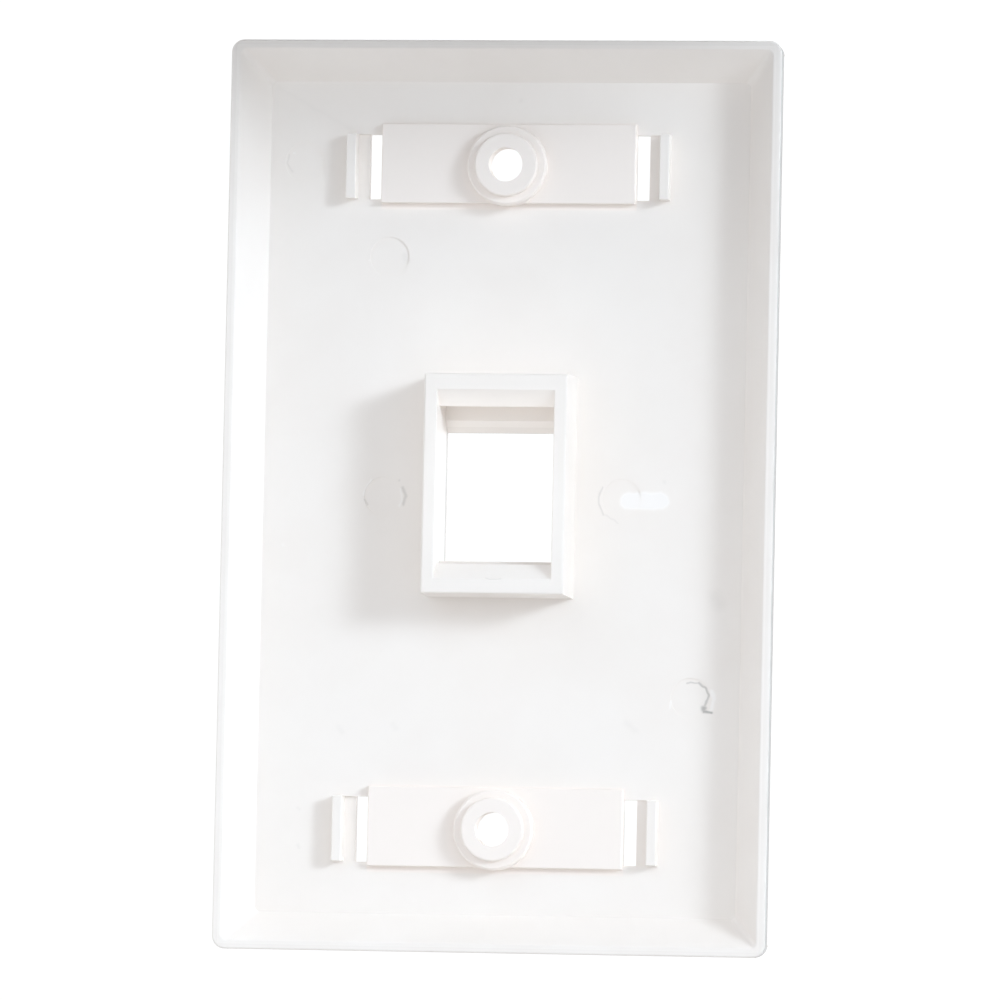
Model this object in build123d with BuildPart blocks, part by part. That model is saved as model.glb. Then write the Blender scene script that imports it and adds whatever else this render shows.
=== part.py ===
from build123d import *
import os
from math import radians, tan

# Keystone faceplate, single gang, one port, moulded in one piece. Millimetres.
# Frame: upright on the wall, +Z up. y = 0 is the wall plane that the rear rim touches, the front faces
# -Y, and the port's box stands past the wall plane towards +Y. The origin lies midway between the screws.

# Outline and section
plate_height = 114.3
plate_width = 69.85
plate_depth = 6.8
panel_thickness = 2.0
side_height = 3.0
side_draft = 1.5
bevel_run = 3.2
corner_radius = 1.6
bevel_radius = 2.0
side_radius = 1.2
rim_land = 1.1
side_wall_run = 3.35
end_wall_run = 3.75
hollow_corner_radius = 0.8
rim_edge_radius = 0.25
hollow_edge_radius = 0.3

# Screw holes for number 6 oval head screws, on two stepped bosses. Their distance from the plate's ends
# puts them 83.34 apart, as the standard device straps have them.
screw_end_distance = 15.48
screw_hole_diameter = 4.3
screw_head_diameter = 7.4
screw_head_angle = 82
boss_base_diameter = 10.1
boss_base_rise = 2.3
boss_top_diameter = 8.0
boss_top_rise = 3.1
boss_base_chamfer = 0.25
boss_top_radius = 0.3

# Label windows, one round each screw: a recess in the front, backed by a raised pad behind
label_recess_width = 38.0
label_recess_height = 8.9
label_recess_depth = 0.9
pad_width = 32.3
pad_height = 10.0
pad_offset = 0.3
pad_rise = 0.9
label_edge_radius = 0.15

# Snap ends of a label window: a slot through the panel, a sunk ledge and a rib beyond it
snap_height = 8.2
snap_offset = -0.1
slot_width = 1.65
ledge_width = 1.5
ledge_sink = 0.35
rib_thickness = 1.25
rib_rise = 1.8

# Keystone port: a straight opening in the front, and behind it a box with two catches
port_height = 16.4
box_width = 18.1
box_top = 15.1
box_bottom = -12.4
box_side_wall = 1.65
box_top_wall = 2.0
box_bottom_wall = 1.8
box_rise = 2.0
box_draft = 1.5
box_edge_radius = 0.25
catch_depth = 2.2
catch_land = 0.4
top_catch_overhang = 2.0
bottom_catch_overhang = 1.95
lip_land = 0.6
lip_ramp_rise = 1.45
lug_slot = 1.7
port_edge_radius = 0.15

# Ejector pin marks on the inside of the panel: two beside the box, the others from the nearer screw
pin_mark_diameter = 5.0
pin_mark_depth = 0.12
pin_mark_box_gap = 6.05
pin_marks_from_upper_screw = [(15.0, -11.47), (26.1, 0.43)]
pin_marks_from_lower_screw = [(-24.3, 16.87)]

# Sizes that follow from the ones above
cut_margin = 1.0
plane_tolerance = 0.01
floor_depth = plate_depth - panel_thickness
side_inset = side_height * tan(radians(side_draft))
front_inset = side_inset + bevel_run
screw_height = plate_height / 2 - screw_end_distance
screw_points = [(0, screw_height), (0, -screw_height)]
pad_points = [(x, z + pad_offset) for x, z in screw_points]
pad_outer = pad_width / 2
slot_outer = pad_outer + slot_width
ledge_outer = slot_outer + ledge_width
slot_middle = pad_outer + slot_width / 2
ledge_middle = slot_outer + ledge_width / 2
rib_middle = ledge_outer + rib_thickness / 2
recess_floor_depth = plate_depth - label_recess_depth
box_height = box_top - box_bottom
box_middle = (box_top + box_bottom) / 2
box_flare = (floor_depth + box_rise) * tan(radians(box_draft))
port_width = box_width - 2 * box_side_wall
port_top = box_top - box_top_wall
port_bottom = box_bottom + box_bottom_wall
catch_front = box_rise - catch_depth
catch_land_end = catch_front + catch_land
top_catch_tip = port_top - top_catch_overhang
bottom_catch_tip = port_bottom + bottom_catch_overhang
lug_slot_front = catch_front - lug_slot
catch_corners = [
    (catch_front, top_catch_tip),
    (catch_land_end, top_catch_tip),
    (catch_front, bottom_catch_tip),
    (catch_land_end, bottom_catch_tip),
]
pin_mark_side = box_width / 2 + pin_mark_box_gap
pin_marks = [(pin_mark_side, 0), (-pin_mark_side, 0)]
pin_marks += [(x, z + screw_height) for x, z in pin_marks_from_upper_screw]
pin_marks += [(x, z - screw_height) for x, z in pin_marks_from_lower_screw]

# Planes parallel to the wall, each at its depth in front of it, with the normal towards the front
wall_plane = Plane.XZ
side_end_plane = Plane.XZ.offset(side_height)
floor_plane = Plane.XZ.offset(floor_depth)
recess_plane = Plane.XZ.offset(recess_floor_depth)
front_plane = Plane.XZ.offset(plate_depth)


def snap_points(x):
    """The four places at this distance to either side of the two screws, a little below them."""
    return [(side * x, z + snap_offset) for _, z in screw_points for side in (-1, 1)]


def edges_at_depth(part, depth, select=Select.ALL):
    """The edges that lie wholly in the plane at this depth in front of the wall."""
    edges = part.edges(select)
    return edges.filter_by_position(Axis.Y, -depth - plane_tolerance, -depth + plane_tolerance)


def box_profile_points():
    """The port's side view in y and z, from the front opening's top edge round to its bottom edge."""
    opening = port_height / 2
    return [
        (-plate_depth - cut_margin, opening),
        (-plate_depth + lip_land, opening),
        (-floor_depth, opening + lip_ramp_rise),
        (-floor_depth, port_top),
        (catch_front, port_top),
        (catch_front, top_catch_tip),
        (catch_land_end, top_catch_tip),
        (box_rise, port_top),
        (box_rise + cut_margin, port_top),
        (box_rise + cut_margin, port_bottom),
        (box_rise, port_bottom),
        (catch_land_end, bottom_catch_tip),
        (catch_front, bottom_catch_tip),
        (catch_front, port_bottom),
        (lug_slot_front, port_bottom),
        (lug_slot_front, -opening),
        (-plate_depth - cut_margin, -opening),
    ]


def is_catch_corner(edge):
    """Whether the edge runs across the port along one of the four corners of its catches."""
    centre = edge.center()
    return any(
        abs(centre.Y - y) < plane_tolerance and abs(centre.Z - z) < plane_tolerance
        for y, z in catch_corners
    )


with BuildPart() as faceplate:
    # Outside: drafted sides from the wall plane, then a wide bevel up to the flat front
    with BuildSketch(wall_plane):
        Rectangle(plate_width, plate_height)
    with BuildSketch(side_end_plane):
        Rectangle(plate_width - 2 * side_inset, plate_height - 2 * side_inset)
    loft(ruled=True)
    with BuildSketch(side_end_plane):
        Rectangle(plate_width - 2 * side_inset, plate_height - 2 * side_inset)
    with BuildSketch(front_plane):
        Rectangle(plate_width - 2 * front_inset, plate_height - 2 * front_inset)
    loft(ruled=True)
    fillet(faceplate.edges().filter_by(Plane.XZ, reverse=True), radius=corner_radius)
    fillet(edges_at_depth(faceplate, plate_depth), radius=bevel_radius)
    fillet(edges_at_depth(faceplate, side_height), radius=side_radius)
    fillet(edges_at_depth(faceplate, 0), radius=rim_edge_radius)

    # Inside: one sloped wall all round, from the rim land down to the back of the panel
    with BuildSketch(wall_plane):
        RectangleRounded(
            plate_width - 2 * rim_land, plate_height - 2 * rim_land, hollow_corner_radius
        )
    with BuildSketch(floor_plane):
        RectangleRounded(
            plate_width - 2 * (rim_land + side_wall_run),
            plate_height - 2 * (rim_land + end_wall_run),
            hollow_corner_radius,
        )
    loft(ruled=True, mode=Mode.SUBTRACT)
    fillet(edges_at_depth(faceplate, 0, Select.LAST), radius=hollow_edge_radius)

    # Label pads and stepped screw bosses on the back of the panel
    with BuildSketch(floor_plane):
        with Locations(*pad_points):
            Rectangle(pad_width, pad_height)
    extrude(amount=-pad_rise)
    fillet(edges_at_depth(faceplate, floor_depth - pad_rise), radius=label_edge_radius)
    with BuildSketch(floor_plane):
        with Locations(*screw_points):
            Circle(boss_base_diameter / 2)
    extrude(amount=-boss_base_rise)
    chamfer(edges_at_depth(faceplate, floor_depth - boss_base_rise), length=boss_base_chamfer)
    with BuildSketch(floor_plane):
        with Locations(*screw_points):
            Circle(boss_top_diameter / 2)
    extrude(amount=-boss_top_rise)
    fillet(edges_at_depth(faceplate, floor_depth - boss_top_rise), radius=boss_top_radius)

    # Snap ribs at the ends of each pad
    with BuildSketch(floor_plane):
        with Locations(*snap_points(rib_middle)):
            Rectangle(rib_thickness, snap_height)
    extrude(amount=-rib_rise)
    fillet(edges_at_depth(faceplate, floor_depth - rib_rise), radius=label_edge_radius)

    # Label recesses in the front, the sunk ledges and the slots at their ends
    with BuildSketch(recess_plane):
        with Locations(*screw_points):
            Rectangle(label_recess_width, label_recess_height)
    extrude(amount=label_recess_depth + cut_margin, mode=Mode.SUBTRACT)
    fillet(edges_at_depth(faceplate, plate_depth, Select.LAST), radius=label_edge_radius)
    with BuildSketch(floor_plane):
        with Locations(*snap_points(ledge_middle)):
            Rectangle(ledge_width, snap_height)
    extrude(amount=ledge_sink, mode=Mode.SUBTRACT)
    with BuildSketch(floor_plane):
        with Locations(*snap_points(slot_middle)):
            Rectangle(slot_width, snap_height)
    extrude(amount=panel_thickness + cut_margin, mode=Mode.SUBTRACT)

    # Screw holes, sunk for oval heads at the bottom of each label recess
    with Locations(recess_plane):
        with Locations(*screw_points):
            CounterSinkHole(
                screw_hole_diameter / 2,
                screw_head_diameter / 2,
                depth=plate_depth,
                counter_sink_angle=screw_head_angle,
            )

    # Port box: a drafted block from the front of the panel to past the wall plane
    with BuildSketch(Plane.XZ.offset(-box_rise)):
        with Locations((0, box_middle)):
            Rectangle(box_width, box_height)
    with BuildSketch(floor_plane):
        with Locations((0, box_middle)):
            Rectangle(box_width + 2 * box_flare, box_height + 2 * box_flare)
    loft(ruled=True)
    fillet(edges_at_depth(faceplate, -box_rise), radius=box_edge_radius)
    with BuildSketch(Plane.YZ.offset(-port_width / 2)):
        with BuildLine():
            Polyline(*box_profile_points(), close=True)
        make_face()
    extrude(amount=port_width, mode=Mode.SUBTRACT)
    rear_rim = edges_at_depth(faceplate, -box_rise, Select.LAST)
    front_rim = edges_at_depth(faceplate, plate_depth, Select.LAST)
    catch_edges = faceplate.edges(Select.LAST).filter_by(is_catch_corner)
    fillet(rear_rim + front_rim + catch_edges, radius=port_edge_radius)

    # Ejector pin marks, each a shallow round step in the back of the panel
    with BuildSketch(floor_plane):
        with Locations(*pin_marks):
            Circle(pin_mark_diameter / 2)
    extrude(amount=pin_mark_depth, mode=Mode.SUBTRACT)

os.makedirs("parts", exist_ok=True)
faceplate.part.label = "faceplate"
export_step(faceplate.part, "parts/faceplate.step")
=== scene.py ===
from math import pi, radians

import bpy
from mathutils import Matrix, Vector

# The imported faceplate, upright as on a wall: X across, Z up, the wall towards +Y. The view is from behind,
# from inside the wall, as the photograph shows it.
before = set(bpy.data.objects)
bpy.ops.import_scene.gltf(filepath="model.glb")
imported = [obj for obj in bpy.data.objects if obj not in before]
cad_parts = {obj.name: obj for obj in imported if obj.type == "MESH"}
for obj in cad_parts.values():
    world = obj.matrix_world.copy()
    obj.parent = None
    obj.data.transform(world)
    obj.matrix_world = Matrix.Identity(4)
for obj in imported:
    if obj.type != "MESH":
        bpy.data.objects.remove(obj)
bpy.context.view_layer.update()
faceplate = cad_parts["faceplate"]
bpy.ops.object.select_all(action="DESELECT")

# Faceplate: one injection moulding in white styrene plastic, screwed to the device strap by its two holes.
# The cavity side, the front, is polished; the core side, seen here, has the fine spark finish of the steel,
# with the faint marks of the ejector pins and of the flow, and a few specks. The shade and the highlights on
# the pin marks' rims, and a bright streak beside the port, are painted into the colour.
plastic = bpy.data.materials.new("moulded_white_plastic")
plastic.use_nodes = True
tree = plastic.node_tree
links = tree.links
shader = tree.nodes["Principled BSDF"]
shader.inputs["IOR"].default_value = 1.49


def add(tree, kind, operation=None, *values):
    """A new node, with its first inputs linked to the sockets or set to the values given."""
    new = tree.nodes.new(kind)
    if operation:
        new.operation = operation
    for socket, value in zip(new.inputs, values):
        if isinstance(value, bpy.types.NodeSocket):
            tree.links.new(value, socket)
        elif value is not None:
            socket.default_value = value
    return new


def reckon(tree, operation, *values):
    """The output of a Math node."""
    return add(tree, "ShaderNodeMath", operation, *values).outputs["Value"]


def ramp(tree, value, low, high):
    """A smooth step from 0 to 1 as the value goes from low to high."""
    step = add(tree, "ShaderNodeMapRange", None, value, low, high)
    step.interpolation_type = "SMOOTHSTEP"
    return step.outputs["Result"]


def noise(tree, place, scale, detail):
    """A noise pattern on the plate, with this many waves to the metre."""
    pattern = add(tree, "ShaderNodeTexNoise", None, place)
    pattern.inputs["Scale"].default_value = scale
    pattern.inputs["Detail"].default_value = detail
    return pattern


# The stroke of a mark: how far inside the line from Start to End, seen from behind, each point lies
stroke = bpy.data.node_groups.new("mark_stroke", "ShaderNodeTree")
for name, kind in (
    ("Place", "NodeSocketVector"),
    ("Start", "NodeSocketVector"),
    ("End", "NodeSocketVector"),
    ("Half Width", "NodeSocketFloat"),
    ("Softness", "NodeSocketFloat"),
    ("Depth", "NodeSocketFloat"),
):
    stroke.interface.new_socket(name, in_out="INPUT", socket_type=kind)
stroke.interface.new_socket("Mask", in_out="OUTPUT", socket_type="NodeSocketFloat")
given = stroke.nodes.new("NodeGroupInput").outputs
from_start = add(stroke, "ShaderNodeVectorMath", "SUBTRACT", given["Place"], given["Start"]).outputs[0]
whole = add(stroke, "ShaderNodeVectorMath", "SUBTRACT", given["End"], given["Start"]).outputs[0]
along = add(stroke, "ShaderNodeVectorMath", "DOT_PRODUCT", from_start, whole).outputs["Value"]
square = add(stroke, "ShaderNodeVectorMath", "DOT_PRODUCT", whole, whole).outputs["Value"]
part_way = reckon(stroke, "DIVIDE", along, square)
part_way = reckon(stroke, "MINIMUM", reckon(stroke, "MAXIMUM", part_way, 0.0), 1.0)
nearest = add(stroke, "ShaderNodeVectorMath", "SCALE", whole)
stroke.links.new(part_way, nearest.inputs["Scale"])
apart = add(stroke, "ShaderNodeVectorMath", "DISTANCE", from_start, nearest.outputs[0]).outputs["Value"]
outer = reckon(stroke, "ADD", given["Half Width"], given["Softness"])
inner = reckon(stroke, "SUBTRACT", given["Half Width"], given["Softness"])
inside = ramp(stroke, apart, outer, inner)
result = stroke.nodes.new("NodeGroupOutput")
stroke.links.new(reckon(stroke, "MULTIPLY", inside, given["Depth"]), result.inputs["Mask"])

# Where the core side is: behind the panel's middle, and inside the plate's outer sides. Each pair is the
# place, in metres, where the mask starts and where it is full.
panel_middle = (-0.0056, -0.0053)
side_limit = (0.0343, 0.0340)
end_limit = (0.0566, 0.0563)
place = tree.nodes.new("ShaderNodeTexCoord").outputs["Object"]
split = add(tree, "ShaderNodeSeparateXYZ", None, place)
across = reckon(tree, "ABSOLUTE", split.outputs["X"])
upward = reckon(tree, "ABSOLUTE", split.outputs["Z"])
behind = ramp(tree, split.outputs["Y"], *panel_middle)
within = reckon(tree, "MULTIPLY", ramp(tree, across, *side_limit), ramp(tree, upward, *end_limit))
core_side = reckon(tree, "MULTIPLY", behind, within)

# The marks' place on the core side, flattened to X and Z, with an edge that wanders a quarter millimetre
wander_width = 0.0005
wander = noise(tree, place, 900.0, 1.0).outputs["Color"]
wander = add(tree, "ShaderNodeVectorMath", "SUBTRACT", wander, (0.5, 0.5, 0.5)).outputs[0]
wander = add(tree, "ShaderNodeVectorMath", "MULTIPLY", wander, (wander_width, 0.0, wander_width)).outputs[0]
flat = add(tree, "ShaderNodeVectorMath", "MULTIPLY_ADD", place, (1.0, 0.0, 1.0), wander).outputs[0]

# The marks, in millimetres across and up: the points of each stroke, its half width, its softness and its
# strength
# Painted shade: most dark strokes are the shadowed sides of the ejector-pin rims; the rest are flow lines,
# specks and a small nick.
shade_and_speck_strokes = [
    ([(-23.8, -22.9), (-25.4, -22.9)], 0.09, 0.09, 0.30),
    ([(-25.4, -22.9), (-26.2, -23.4), (-26.7, -24.3)], 0.13, 0.11, 0.38),
    ([(-26.7, -24.3), (-26.4, -25.0), (-26.1, -25.7)], 0.12, 0.12, 0.36),
    ([(-26.0, -26.1)], 0.36, 0.26, 0.50),
    ([(-26.0, -26.4), (-27.0, -26.6)], 0.16, 0.12, 0.52),
    ([(-12.6, 1.4), (-12.2, 0.4), (-12.3, -0.9), (-12.8, -2.0)], 0.10, 0.12, 0.17),
    ([(-12.8, -2.0), (-13.4, -2.1), (-14.7, -3.0)], 0.09, 0.12, 0.08),
    ([(-20.4, 2.2)], 0.25, 0.20, 0.05),
    ([(17.6, -0.4), (17.2, -1.0)], 0.12, 0.12, 0.15),
    ([(12.7, 1.1), (12.3, 0.1), (12.6, -0.9)], 0.20, 0.20, 0.20),
    ([(13.2, 2.1)], 0.12, 0.12, 0.13),
    ([(12.8, 29.7), (13.1, 30.4)], 0.35, 0.35, 0.055),
    ([(28.2, 43.0), (28.4, 42.0), (27.8, 40.9)], 0.09, 0.11, 0.09),
    ([(-1.3, 50.0)], 0.22, 0.22, 0.04),
    ([(30.8, 52.1), (20.1, 46.2)], 0.20, 0.30, 0.02),
    ([(25.3, -39.2), (25.0, -39.5)], 0.12, 0.18, 0.06),
    ([(25.1, -43.9), (24.9, -44.2)], 0.15, 0.18, 0.06),
    ([(-27.2, -12.2), (-27.6, -12.9)], 0.80, 0.80, 0.05),
    ([(20.2, -29.1), (19.8, -29.6)], 0.30, 0.35, 0.035),
    ([(13.3, -28.6), (13.0, -29.1)], 0.30, 0.35, 0.035),
    ([(-16.3, -28.0), (-17.4, -28.9)], 0.35, 0.35, 0.035),
    ([(0.8, -10.54), (0.1, -10.66), (-0.6, -10.66), (-1.2, -10.54)], 0.05, 0.07, 0.14),
]
# Painted highlights: the pale strokes are the lit sides of the pin-mark rims and a bright streak beside the
# port.
highlight_strokes = [
    ([(-27.0, -23.9), (-27.3, -25.0), (-27.0, -26.1)], 0.22, 0.16, 0.8),
    ([(-21.9, -25.3), (-21.8, -26.0)], 0.12, 0.12, 0.6),
    ([(-15.9, -0.2), (-20.0, -0.2)], 1.05, 0.30, 1.0),
    ([(16.8, 2.1), (17.7, 0.3)], 0.12, 0.12, 0.6),
    ([(13.1, 1.0), (12.9, -0.4), (13.2, -1.2)], 0.12, 0.10, 0.6),
    ([(17.7, 29.8)], 0.14, 0.10, 0.4),
    ([(27.6, 43.3)], 0.14, 0.10, 0.5),
    ([(27.8, -6.2)], 0.18, 0.16, 0.3),
]
millimetre = 1 / 1000


def marks(strokes):
    """The mask of these strokes on the core side."""
    mask = 0.0
    for points, half_width, softness, strength in strokes:
        for start, end in zip(points, points[1:] or points):
            each = tree.nodes.new("ShaderNodeGroup")
            each.node_tree = stroke
            links.new(flat, each.inputs["Place"])
            each.inputs["Start"].default_value = (start[0] * millimetre, 0.0, start[1] * millimetre)
            each.inputs["End"].default_value = (end[0] * millimetre, 0.0, end[1] * millimetre)
            each.inputs["Half Width"].default_value = half_width * millimetre
            each.inputs["Softness"].default_value = softness * millimetre
            each.inputs["Depth"].default_value = strength
            mask = reckon(tree, "MAXIMUM", each.outputs["Mask"], mask)
    return reckon(tree, "MULTIPLY", mask, core_side)


# The masks of the painted shade, with the specks, and of the painted highlights
shade_and_speck_marks, painted_highlights = marks(shade_and_speck_strokes), marks(highlight_strokes)


def tint(factor, below, above):
    """The colour below where the factor is 0, and the one above where it is 1."""
    mix = tree.nodes.new("ShaderNodeMix")
    mix.data_type = "RGBA"
    for socket, value in zip((mix.inputs[0], mix.inputs[6], mix.inputs[7]), (factor, below, above)):
        if isinstance(value, bpy.types.NodeSocket):
            links.new(value, socket)
        else:
            socket.default_value = value
    return mix.outputs[2]


# Colour: a warm white, clouded a little by the flow and slightly pinker on the two label pads, with painted
# shade and painted highlights at the marks
warm_white = (0.922, 0.864, 0.812, 1.0)
clear_white = (0.936, 0.882, 0.832, 1.0)
pad_white = (0.958, 0.882, 0.824, 1.0)
shade_and_speck_grey = (0.16, 0.15, 0.14, 1.0)
highlight_white = (1.0, 0.96, 0.925, 1.0)
pad_middle = 0.04167
pad_side = (0.0164, 0.0161)
pad_edge = (0.0056, 0.0053)
cloud = noise(tree, place, 110.0, 3.0).outputs["Fac"]
colour = tint(ramp(tree, cloud, 0.3, 0.7), warm_white, clear_white)
pad_band = reckon(tree, "ABSOLUTE", reckon(tree, "SUBTRACT", upward, pad_middle))
pads = reckon(tree, "MULTIPLY", ramp(tree, across, *pad_side), ramp(tree, pad_band, *pad_edge))
pads = reckon(tree, "MULTIPLY", pads, core_side)
colour = tint(pads, colour, pad_white)
# Painted shade in the pin-mark rims, with the flow lines and specks, in grey
colour = tint(shade_and_speck_marks, colour, shade_and_speck_grey)
# Painted highlights on the pin-mark rims and the bright streak
colour = tint(painted_highlights, colour, highlight_white)
links.new(colour, shader.inputs["Base Color"])

# Finish, as roughness: glossy in front, satin behind, and smoother again on the painted highlights
satin_least, satin_spread = 0.41, 0.10
gloss_least, gloss_spread = 0.20, 0.05
streak_shine = 0.2
uneven = noise(tree, place, 420.0, 2.0).outputs["Fac"]
satin = reckon(tree, "MULTIPLY_ADD", uneven, satin_spread, satin_least)
polish = noise(tree, place, 260.0, 2.0).outputs["Fac"]
gloss = reckon(tree, "MULTIPLY_ADD", polish, gloss_spread, gloss_least)
finish = add(tree, "ShaderNodeMix", None, core_side, None, gloss, satin).outputs[0]
roughness = reckon(tree, "SUBTRACT", finish, reckon(tree, "MULTIPLY", painted_highlights, streak_shine))
links.new(roughness, shader.inputs["Roughness"])

# Relief, in metres: the spark grain of the core side, and a slight orange peel and slow sink waves all over
grain_depth = 4e-6
peel_depth = 1.5e-6
wave_depth = 2e-5
grain = noise(tree, place, 2600.0, 3.0).outputs["Fac"]
peel = noise(tree, place, 700.0, 1.0).outputs["Fac"]
waves = noise(tree, place, 70.0, 2.0).outputs["Fac"]
relief = reckon(tree, "MULTIPLY", reckon(tree, "MULTIPLY", grain, core_side), grain_depth)
relief = reckon(tree, "MULTIPLY_ADD", peel, peel_depth, relief)
relief = reckon(tree, "MULTIPLY_ADD", waves, wave_depth, relief)
bump = tree.nodes.new("ShaderNodeBump")
bump.inputs["Distance"].default_value = 1.0
links.new(relief, bump.inputs["Height"])
links.new(bump.outputs["Normal"], shader.inputs["Normal"])

faceplate.data.materials.clear()
faceplate.data.materials.append(plastic)

# Camera: a long lens behind the plate, a little towards -X and below its middle, turned about its own
# axis by just over a degree, as the fitted view of the photograph has it.
camera_place = Vector((-0.21486, 1.27946, -0.08255))
camera_right = Vector((-0.98625, -0.16389, 0.02106))
camera_up = Vector((0.01039, 0.06566, 0.99779))
camera_data = bpy.data.cameras.new("view_from_inside_the_wall")
camera_data.lens = 374.8
camera_data.sensor_width = 36.0
camera_data.clip_end = 10.0
camera = bpy.data.objects.new("view_from_inside_the_wall", camera_data)
bpy.context.scene.collection.objects.link(camera)
axes = Matrix((camera_right, camera_up, camera_right.cross(camera_up))).transposed()
camera.matrix_world = Matrix.Translation(camera_place) @ axes.to_4x4()
bpy.context.scene.camera = camera

# Studio: white surroundings, brighter from behind the plate and from its +X side, over a pale floor. Two
# cards out of the picture shade the upper end and the outer side. One large gridded soft box gives the
# shadows, and two small ones light the port and the panel above it.
surrounding_colour = (1.0, 1.05, 1.11, 1.0)
surrounding_light = 0.76
surrounding_tilt = (0.23, 0.21, 0.0)
backdrop_level = 1.05
world = bpy.data.worlds.new("white_surroundings")
world.use_nodes = True
bpy.context.scene.world = world
sky = world.node_tree
glow = sky.nodes["Background"]
glow.inputs["Color"].default_value = surrounding_colour
heading = sky.nodes.new("ShaderNodeTexCoord").outputs["Generated"]
tilt = add(sky, "ShaderNodeVectorMath", "DOT_PRODUCT", heading, surrounding_tilt).outputs["Value"]
sky.links.new(reckon(sky, "ADD", tilt, surrounding_light), glow.inputs["Strength"])
backdrop = add(sky, "ShaderNodeBackground", None, (1.0, 1.0, 1.0, 1.0), backdrop_level)
in_picture = sky.nodes.new("ShaderNodeLightPath").outputs["Is Camera Ray"]
blend = add(
    sky, "ShaderNodeMixShader", None, in_picture, glow.outputs["Background"], backdrop.outputs["Background"]
)
sky.links.new(blend.outputs["Shader"], sky.nodes["World Output"].inputs["Surface"])
bpy.context.scene.view_settings.view_transform = "Standard"


def paper(name, colour, roughness=0.5):
    """A plain card or paper of one colour."""
    material = bpy.data.materials.new(name)
    material.use_nodes = True
    inputs = material.node_tree.nodes["Principled BSDF"].inputs
    inputs["Base Color"].default_value = (*colour, 1.0)
    inputs["Roughness"].default_value = roughness
    return material


def flag(name, place, size, angle, material):
    """A card beside the plate, out of the picture, that keeps a light off one part of it."""
    bpy.ops.mesh.primitive_plane_add(size=1.0, location=place, rotation=(0.0, angle, 0.0))
    card = bpy.context.object
    card.name = name
    card.scale = (size[0], size[1], 1.0)
    card.visible_camera = False
    card.data.materials.append(material)
    return card


bpy.ops.mesh.primitive_plane_add(size=3.0, location=(0.0, 0.0, -0.12))
floor = bpy.context.object
floor.name = "pale_floor"
floor.data.materials.append(paper("pale_paper", (0.80, 0.785, 0.77), 0.9))
black = paper("black_card", (0.02, 0.02, 0.02))
grey = paper("grey_card", (0.45, 0.45, 0.45))
above = flag("black_card", (0.0, 0.028, 0.077), (0.16, 0.041), 0.0, black)
beside = flag("grey_card", (-0.045, -0.004, 0.0), (0.13, 0.017), pi / 2, grey)

# The lights: each one's direction and distance from the point that it aims at, its width and height, the
# spread of its grid in degrees (180 is without a grid), its strength at that point and its colour
middle = (0.0, 0.0, 0.0)
widest_grid = 60


def soft_box(name, direction, distance, aim, size, grid, strength, colour):
    """A soft box, invisible to the camera. With a grid, its beam keeps its strength over any distance."""
    data = bpy.data.lights.new(name, "AREA")
    data.shape = "RECTANGLE"
    data.size, data.size_y = size
    data.spread = radians(grid)
    lit_area = size[0] * size[1] if grid < widest_grid else pi * distance**2
    data.energy = strength * pi * lit_area
    data.color = colour
    light = bpy.data.objects.new(name, data)
    light.visible_camera = False
    bpy.context.scene.collection.objects.link(light)
    towards = Vector(direction).normalized()
    light.location = Vector(aim) + towards * distance
    light.rotation_mode = "QUATERNION"
    light.rotation_quaternion = towards.to_track_quat("Z", "Y")


for light in (
    ("key_right", (-0.814, 0.5, 0.296), 0.32, (0.0, 0.0, 0.005), (0.34, 0.20), 20, 0.42, (1.0, 1.13, 1.26)),
    ("top_light", (0.0, 0.34, 0.94), 1.5, middle, (0.6, 0.6), 180, 0.05, (1.0, 1.08, 1.16)),
    ("port_fill", (0.0, 0.45, -0.89), 0.13, (0.0, 0.002, 0.003), (0.016, 0.008), 3, 0.21, (1.0, 1.02, 1.04)),
    ("box_glow", (0.0, 0.6, 0.8), 0.06, (0.0, -0.0048, 0.018), (0.026, 0.004), 18, 0.20, (1.0, 1.05, 1.1)),
    ("front_right", (-0.6, -0.77, 0.05), 1.5, middle, (0.6, 0.6), 180, 0.27, (1.0, 1.04, 1.07)),
    ("front_left", (0.5, -0.7, 0.5), 1.5, middle, (0.6, 0.6), 180, 0.06, (1.0, 1.03, 1.06)),
):
    soft_box(*light)
